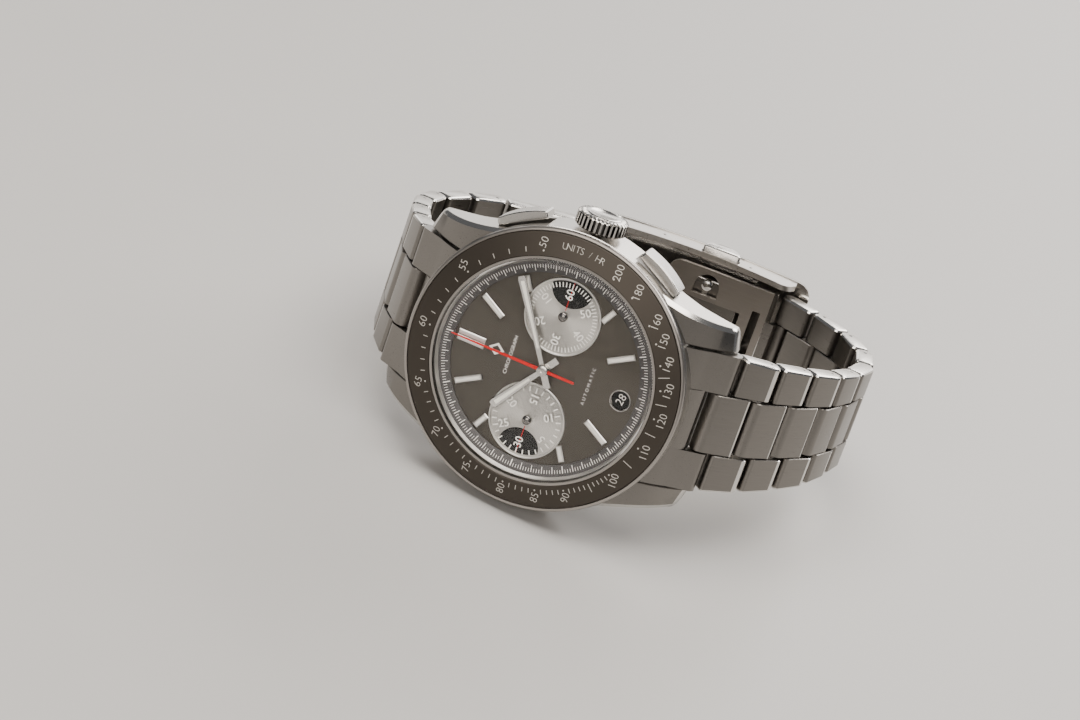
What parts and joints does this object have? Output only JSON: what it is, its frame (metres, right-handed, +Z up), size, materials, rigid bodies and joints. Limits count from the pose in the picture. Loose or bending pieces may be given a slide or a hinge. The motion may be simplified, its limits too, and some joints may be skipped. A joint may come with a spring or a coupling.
{
  "type": "chronograph wristwatch",
  "caption": "Steel chronograph wristwatch with a tachymeter bezel, turning subdial discs, crown, pushers and a three-row bracelet with a folding clasp, lying on its side.",
  "frame": {"origin": "centre of the base of the box, on the surface the watch lies on", "axes": "+Z up, along the leaning crown axis; +X towards 6 o'clock; the dial faces -Y and a little up"},
  "size_m": [0.0686, 0.0606, 0.0413],
  "materials": {
    "black": "matt black with white numerals",
    "brass": "gilt brass",
    "chapter": "matt dark grey with white minute track",
    "dial": "matt warm grey-brown sunray lacquer",
    "disc": "clear printed disc",
    "glass": "clear domed sapphire",
    "insert": "anthracite-brown satin lacquer with silver print",
    "plate": "rhodium plated, fine circular grain",
    "polished": "mirror-polished stainless steel",
    "red": "gloss red lacquer",
    "rubber": "black sealing ring",
    "silver": "fine concentric-turned silver",
    "steel": "satin-brushed stainless steel with polished edges"
  },
  "bodies": {
    "case": {"case_middle": "steel", "bezel_ring": "polished", "tachymeter_insert": "insert", "crystal": "glass", "crystal_gasket": "rubber", "case_back": "steel", "case_back_gasket": "rubber", "dial": "dial", "date_window_frame": "polished", "chapter_ring": "chapter", "seconds_dish": "silver", "minute_counter_dish": "silver", "main_plate": "plate", "train_bridge": "plate", "balance_cock": "plate", "hairspring": "plate", "end_link_12": "steel", "end_link_6": "steel", "spring_bar_12": "plate", "spring_bar_6": "plate"},
    "winding_stem": {"winding_stem": "plate"},
    "crown": {"crown": "polished"},
    "pusher_top": {"pusher_top": "polished"},
    "pusher_bottom": {"pusher_bottom": "polished"},
    "hour_hand": {"hour_hand": "polished"},
    "minute_hand": {"minute_hand": "polished"},
    "chronograph_hand": {"chronograph_hand": "red"},
    "minute_counter_disc": {"minute_counter_disc": "disc"},
    "date_disc": {"date_disc": "black"},
    "mainspring_barrel": {"mainspring_barrel": "brass"},
    "centre_wheel": {"centre_wheel": "brass"},
    "third_wheel": {"third_wheel": "brass"},
    "escape_wheel": {"escape_wheel": "plate"},
    "pallet_fork": {"pallet_fork": "plate"},
    "balance_wheel": {"balance_wheel": "brass"},
    "rotor": {"rotor": "plate"},
    "running_seconds": {"seconds_disc": "disc", "fourth_wheel": "brass"},
    "link_6_1": {"link_6_1": "steel"},
    "link_6_2": {"link_6_2": "steel"},
    "link_6_3": {"link_6_3": "steel"},
    "link_6_4": {"link_6_4": "steel"},
    "link_6_5": {"link_6_5": "steel"},
    "link_6_6": {"link_6_6": "steel"},
    "link_6_7": {"link_6_7": "steel"},
    "link_6_8": {"link_6_8": "steel"},
    "link_6_9": {"link_6_9": "steel"},
    "clasp_lower_blade": {"clasp_lower_blade": "steel"},
    "clasp_upper_blade": {"clasp_upper_blade": "steel"},
    "clasp_cover": {"clasp_cover": "polished"},
    "clasp_button_top": {"clasp_button_top": "polished"},
    "clasp_button_bottom": {"clasp_button_bottom": "polished"},
    "link_12_1": {"link_12_1": "steel"},
    "link_12_2": {"link_12_2": "steel"},
    "link_12_3": {"link_12_3": "steel"},
    "link_12_4": {"link_12_4": "steel"},
    "link_12_5": {"link_12_5": "steel"},
    "link_12_6": {"link_12_6": "steel"},
    "link_12_7": {"link_12_7": "steel"},
    "link_12_8": {"link_12_8": "steel"}
  },
  "joints": [
    {"name": "crown_pull", "type": "slide", "parent": "case", "child": "winding_stem", "axis": [-0.0628, 0.1998, 0.9778], "range_m": [0, 0.0015]},
    {"name": "crown_turn", "type": "hinge", "parent": "winding_stem", "child": "crown", "pos_m": [-0.00386, -0.02176, 0.01948], "axis": [-0.0628, 0.1998, 0.9778], "continuous": true},
    {"name": "pusher_top_press", "type": "slide", "parent": "case", "child": "pusher_top", "axis": [0.5475, -0.1737, -0.8186], "range_m": [0, 0.0008], "stiffness_N_per_m": 1500},
    {"name": "pusher_bottom_press", "type": "slide", "parent": "case", "child": "pusher_bottom", "axis": [-0.4383, -0.1737, -0.8819], "range_m": [0, 0.0008], "stiffness_N_per_m": 1500},
    {"name": "minute_hand_turn", "type": "hinge", "parent": "case", "child": "minute_hand", "pos_m": [-0.00393, -0.02695, 0.02054], "axis": [0.0128, 0.9798, -0.1994], "continuous": true},
    {"name": "hour_hand_turn", "type": "hinge", "parent": "case", "child": "hour_hand", "pos_m": [-0.00393, -0.02695, 0.02054], "axis": [0.0128, 0.9798, -0.1994], "continuous": true},
    {"name": "chronograph_hand_turn", "type": "hinge", "parent": "case", "child": "chronograph_hand", "pos_m": [-0.00393, -0.02695, 0.02054], "axis": [0.0128, 0.9798, -0.1994], "continuous": true},
    {"name": "minute_counter_turn", "type": "hinge", "parent": "case", "child": "minute_counter_disc", "pos_m": [-0.00346, -0.02847, 0.01311], "axis": [0.0128, 0.9798, -0.1994], "continuous": true},
    {"name": "running_seconds_turn", "type": "hinge", "parent": "case", "child": "running_seconds", "pos_m": [-0.00441, -0.02543, 0.02797], "axis": [0.0128, 0.9798, -0.1994], "continuous": true},
    {"name": "centre_wheel_turn", "type": "hinge", "parent": "case", "child": "centre_wheel", "pos_m": [-0.00393, -0.02695, 0.02054], "axis": [0.0128, 0.9798, -0.1994], "continuous": true},
    {"name": "third_wheel_turn", "type": "hinge", "parent": "case", "child": "third_wheel", "pos_m": [-0.00262, -0.02611, 0.02473], "axis": [0.0128, 0.9798, -0.1994], "continuous": true},
    {"name": "escape_wheel_turn", "type": "hinge", "parent": "case", "child": "escape_wheel", "pos_m": [-0.00153, -0.02509, 0.02986], "axis": [0.0128, 0.9798, -0.1994], "continuous": true},
    {"name": "barrel_turn", "type": "hinge", "parent": "case", "child": "mainspring_barrel", "pos_m": [-0.008, -0.02767, 0.01674], "axis": [0.0128, 0.9798, -0.1994], "continuous": true},
    {"name": "pallet_fork_rock", "type": "hinge", "parent": "case", "child": "pallet_fork", "pos_m": [0.0012, -0.02551, 0.02794], "axis": [0.0128, 0.9798, -0.1994], "range_deg": [-6, 6]},
    {"name": "balance_swing", "type": "hinge", "parent": "case", "child": "balance_wheel", "pos_m": [0.00505, -0.02631, 0.02426], "axis": [0.0128, 0.9798, -0.1994], "range_deg": [-150, 150], "stiffness_Nm_per_rad": 0.0000004},
    {"name": "date_disc_turn", "type": "hinge", "parent": "case", "child": "date_disc", "pos_m": [-0.00393, -0.02695, 0.02054], "axis": [0.0128, 0.9798, -0.1994], "continuous": true},
    {"name": "rotor_swing", "type": "hinge", "parent": "case", "child": "rotor", "pos_m": [-0.00393, -0.02695, 0.02054], "axis": [0.0128, 0.9798, -0.1994], "continuous": true},
    {"name": "link_6_1_fold", "type": "hinge", "parent": "case", "child": "link_6_1", "pos_m": [0.01813, -0.01872, 0.02028], "axis": [0.0628, -0.1998, -0.9778], "range_deg": [0, 43]},
    {"name": "link_6_2_fold", "type": "hinge", "parent": "link_6_1", "child": "link_6_2", "pos_m": [0.02292, -0.01482, 0.01979], "axis": [0.0628, -0.1998, -0.9778], "range_deg": [0, 16]},
    {"name": "link_6_3_fold", "type": "hinge", "parent": "link_6_2", "child": "link_6_3", "pos_m": [0.02671, -0.00996, 0.01904], "axis": [0.0628, -0.1998, -0.9778], "range_deg": [0, 10]},
    {"name": "link_6_4_fold", "type": "hinge", "parent": "link_6_3", "child": "link_6_4", "pos_m": [0.02987, -0.0047, 0.01817], "axis": [0.0628, -0.1998, -0.9778], "range_deg": [0, 17]},
    {"name": "link_6_5_fold", "type": "hinge", "parent": "link_6_4", "child": "link_6_5", "pos_m": [0.03165, 0.00114, 0.01709], "axis": [0.0628, -0.1998, -0.9778], "range_deg": [0, 12]},
    {"name": "link_6_6_fold", "type": "hinge", "parent": "link_6_5", "child": "link_6_6", "pos_m": [0.03248, 0.00717, 0.01591], "axis": [0.0628, -0.1998, -0.9778], "range_deg": [0, 22]},
    {"name": "link_6_7_fold", "type": "hinge", "parent": "link_6_6", "child": "link_6_7", "pos_m": [0.03127, 0.01311, 0.01462], "axis": [0.0628, -0.1998, -0.9778], "range_deg": [0, 24]},
    {"name": "link_6_8_fold", "type": "hinge", "parent": "link_6_7", "child": "link_6_8", "pos_m": [0.02797, 0.0182, 0.01336], "axis": [0.0628, -0.1998, -0.9778], "range_deg": [0, 23]},
    {"name": "link_6_9_fold", "type": "hinge", "parent": "link_6_8", "child": "link_6_9", "pos_m": [0.02308, 0.02186, 0.0123], "axis": [0.0628, -0.1998, -0.9778], "range_deg": [0, 13]},
    {"name": "clasp_lower_blade_fold", "type": "hinge", "parent": "link_6_9", "child": "clasp_lower_blade", "pos_m": [0.0176, 0.02462, 0.01139], "axis": [0.0628, -0.1998, -0.9778], "range_deg": [0, 36.8]},
    {"name": "clasp_upper_blade_fold", "type": "hinge", "parent": "clasp_lower_blade", "child": "clasp_upper_blade", "pos_m": [-0.00808, 0.02051, 0.01058], "axis": [-0.0628, 0.1998, 0.9778], "range_deg": [0, 145]},
    {"name": "clasp_cover_fold", "type": "hinge", "parent": "clasp_upper_blade", "child": "clasp_cover", "pos_m": [0.0117, 0.02432, 0.01107], "axis": [0.0628, -0.1998, -0.9778], "range_deg": [0, 145]},
    {"name": "clasp_button_top_press", "type": "slide", "parent": "clasp_cover", "child": "clasp_button_top", "axis": [0.0628, -0.1998, -0.9778], "range_m": [0, 0.0008], "stiffness_N_per_m": 3000},
    {"name": "clasp_button_bottom_press", "type": "slide", "parent": "clasp_cover", "child": "clasp_button_bottom", "axis": [-0.0628, 0.1998, 0.9778], "range_m": [0, 0.0008], "stiffness_N_per_m": 3000},
    {"name": "link_12_1_fold", "type": "hinge", "parent": "case", "child": "link_12_1", "pos_m": [-0.02578, -0.01872, 0.01746], "axis": [-0.0628, 0.1998, 0.9778], "range_deg": [0, 61]},
    {"name": "link_12_2_fold", "type": "hinge", "parent": "link_12_1", "child": "link_12_2", "pos_m": [-0.02899, -0.01357, 0.0162], "axis": [-0.0628, 0.1998, 0.9778], "range_deg": [0, 15]},
    {"name": "link_12_3_fold", "type": "hinge", "parent": "link_12_2", "child": "link_12_3", "pos_m": [-0.03103, -0.00786, 0.0149], "axis": [-0.0628, 0.1998, 0.9778], "range_deg": [0, 9]},
    {"name": "link_12_4_fold", "type": "hinge", "parent": "link_12_3", "child": "link_12_4", "pos_m": [-0.03245, -0.00197, 0.0136], "axis": [-0.0628, 0.1998, 0.9778], "range_deg": [0, 17]},
    {"name": "link_12_5_fold", "type": "hinge", "parent": "link_12_4", "child": "link_12_5", "pos_m": [-0.03237, 0.00411, 0.01237], "axis": [-0.0628, 0.1998, 0.9778], "range_deg": [0, 23]},
    {"name": "link_12_6_fold", "type": "hinge", "parent": "link_12_5", "child": "link_12_6", "pos_m": [-0.03018, 0.00982, 0.01134], "axis": [-0.0628, 0.1998, 0.9778], "range_deg": [0, 23]},
    {"name": "link_12_7_fold", "type": "hinge", "parent": "link_12_6", "child": "link_12_7", "pos_m": [-0.02615, 0.01447, 0.01065], "axis": [-0.0628, 0.1998, 0.9778], "range_deg": [0, 21]},
    {"name": "link_12_8_fold", "type": "hinge", "parent": "link_12_7", "child": "link_12_8", "pos_m": [-0.02086, 0.01769, 0.01033], "axis": [-0.0628, 0.1998, 0.9778], "range_deg": [0, 5]}
  ],
  "couplings": [
    {"joint": "hour_hand_turn", "follows": "minute_hand_turn", "ratio": 0.083333},
    {"joint": "minute_counter_turn", "follows": "chronograph_hand_turn", "ratio": 0.033333},
    {"joint": "third_wheel_turn", "follows": "running_seconds_turn", "ratio": -0.125},
    {"joint": "centre_wheel_turn", "follows": "running_seconds_turn", "ratio": 0.016667},
    {"joint": "barrel_turn", "follows": "running_seconds_turn", "ratio": -0.0032609},
    {"joint": "escape_wheel_turn", "follows": "running_seconds_turn", "ratio": -7.5},
    {"joint": "clasp_cover_fold", "follows": "clasp_upper_blade_fold", "ratio": 1}
  ]
}
